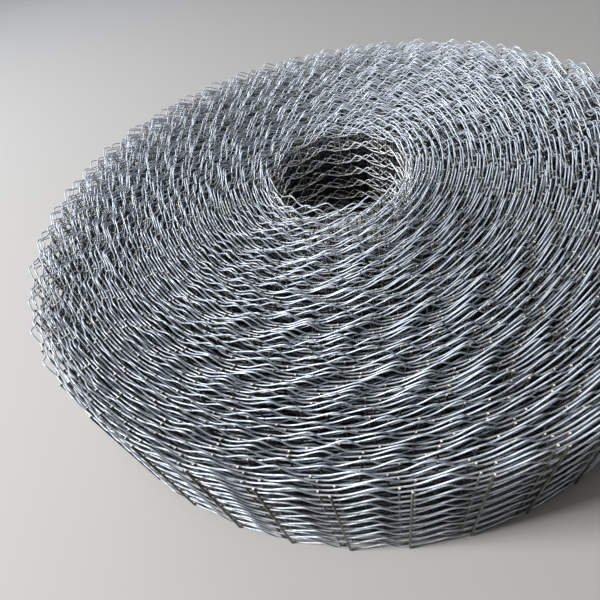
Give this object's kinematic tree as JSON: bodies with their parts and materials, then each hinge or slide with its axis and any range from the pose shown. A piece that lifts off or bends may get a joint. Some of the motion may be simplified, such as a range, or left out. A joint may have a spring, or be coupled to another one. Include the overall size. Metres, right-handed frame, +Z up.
{
  "type": "roll of welded wire mesh",
  "caption": "Squat roll of crimped galvanised welded wire mesh strip, wound in open turns round an empty bore and lying on its end.",
  "frame": {"origin": "centre of the lower end, on the ground plane and on the bore axis", "axes": "+Z up along the bore axis; X and Y lie in the ground plane, and the roll is round about Z"},
  "size_m": [0.96, 0.96, 0.1953],
  "materials": {
    "galvanised_wire": "galvanised steel wire, cool grey, weathered, with brighter upper sides"
  },
  "bodies": {
    "root": {"mesh_roll": "galvanised_wire"}
  },
  "joints": []
}
